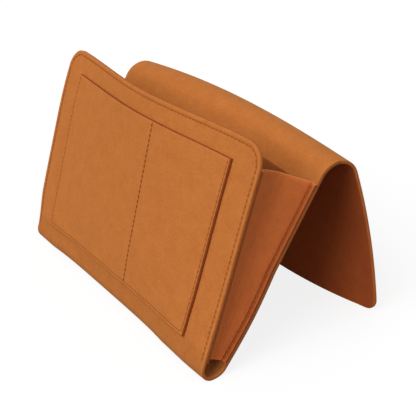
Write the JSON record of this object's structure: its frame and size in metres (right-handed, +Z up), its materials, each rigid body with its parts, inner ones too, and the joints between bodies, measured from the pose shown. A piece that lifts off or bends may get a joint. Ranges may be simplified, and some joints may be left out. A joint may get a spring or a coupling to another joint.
{
  "type": "hanging storage organizer",
  "caption": "Felt bag with side gussets, an outer patch pocket and a long flap that folds over the top and tucks under a mattress or cushion.",
  "frame": {"origin": "under the middle of the part's box, on the surface that it stands on", "axes": "+X along the bag to its right side as seen from the front, -Y towards the front, +Z up"},
  "size_m": [0.325, 0.1972, 0.205],
  "materials": {
    "main_felt": "matte orange-brown felt, 3 mm",
    "pocket_felt": "matte orange-brown felt, 3 mm",
    "gusset_felt": "matte orange-brown felt, 2 mm",
    "sewing_thread": "satin polyester thread, a shade darker than the felt"
  },
  "bodies": {
    "back": {"back_panel": "main_felt", "bottom_fold": "main_felt", "inner_pocket": "pocket_felt", "left_gusset_rear_flange": "gusset_felt", "right_gusset_rear_flange": "gusset_felt", "left_seam_thread": "sewing_thread", "left_seam_bobbin_thread": "sewing_thread", "right_seam_thread": "sewing_thread", "right_seam_bobbin_thread": "sewing_thread", "inner_pocket_thread": "sewing_thread", "inner_pocket_bobbin_thread": "sewing_thread"},
    "front": {"front_panel": "main_felt", "outer_pocket": "pocket_felt", "left_gusset_front_flange": "gusset_felt", "right_gusset_front_flange": "gusset_felt", "hem_thread": "sewing_thread", "hem_bobbin_thread": "sewing_thread", "pocket_thread": "sewing_thread", "pocket_bobbin_thread": "sewing_thread", "divider_thread": "sewing_thread", "divider_bobbin_thread": "sewing_thread"},
    "bend": {"top_bend": "main_felt"},
    "flap": {"tuck_flap": "main_felt"},
    "left_front_half": {"left_gusset_front": "gusset_felt"},
    "left_rear_half": {"left_gusset_rear": "gusset_felt"},
    "right_front_half": {"right_gusset_front": "gusset_felt"},
    "right_rear_half": {"right_gusset_rear": "gusset_felt"}
  },
  "joints": [
    {"name": "mouth_hinge", "type": "hinge", "parent": "back", "child": "front", "pos_m": [0, -0.08738, 0.0112], "axis": [1, 0, 0], "range_deg": [-12, 1.8]},
    {"name": "bend_hinge", "type": "hinge", "parent": "back", "child": "bend", "pos_m": [0, 0.02412, 0.15915], "axis": [1, 0, 0], "range_deg": [-25, 63]},
    {"name": "flap_hinge", "type": "hinge", "parent": "bend", "child": "flap", "pos_m": [0, 0.06221, 0.1543], "axis": [1, 0, 0], "range_deg": [-25, 63]},
    {"name": "left_front_gusset_hinge", "type": "hinge", "parent": "front", "child": "left_front_half", "pos_m": [-0.1552, -0.06552, 0.09878], "axis": [0, 0.3156, 0.9489], "range_deg": [-53, 8]},
    {"name": "left_rear_gusset_hinge", "type": "hinge", "parent": "back", "child": "left_rear_half", "pos_m": [-0.1552, -0.03133, 0.08196], "axis": [0, -0.5592, -0.829], "range_deg": [-53, 8]},
    {"name": "right_front_gusset_hinge", "type": "hinge", "parent": "front", "child": "right_front_half", "pos_m": [0.1552, -0.06552, 0.09878], "axis": [0, -0.3156, -0.9489], "range_deg": [-53, 8]},
    {"name": "right_rear_gusset_hinge", "type": "hinge", "parent": "back", "child": "right_rear_half", "pos_m": [0.1552, -0.03133, 0.08196], "axis": [0, 0.5592, 0.829], "range_deg": [-53, 8]}
  ],
  "couplings": [
    {"joint": "flap_hinge", "follows": "bend_hinge", "ratio": 1},
    {"joint": "left_front_gusset_hinge", "follows": "mouth_hinge", "ratio": 4.4},
    {"joint": "left_rear_gusset_hinge", "follows": "mouth_hinge", "ratio": 4.4},
    {"joint": "right_front_gusset_hinge", "follows": "mouth_hinge", "ratio": 4.4},
    {"joint": "right_rear_gusset_hinge", "follows": "mouth_hinge", "ratio": 4.4}
  ]
}
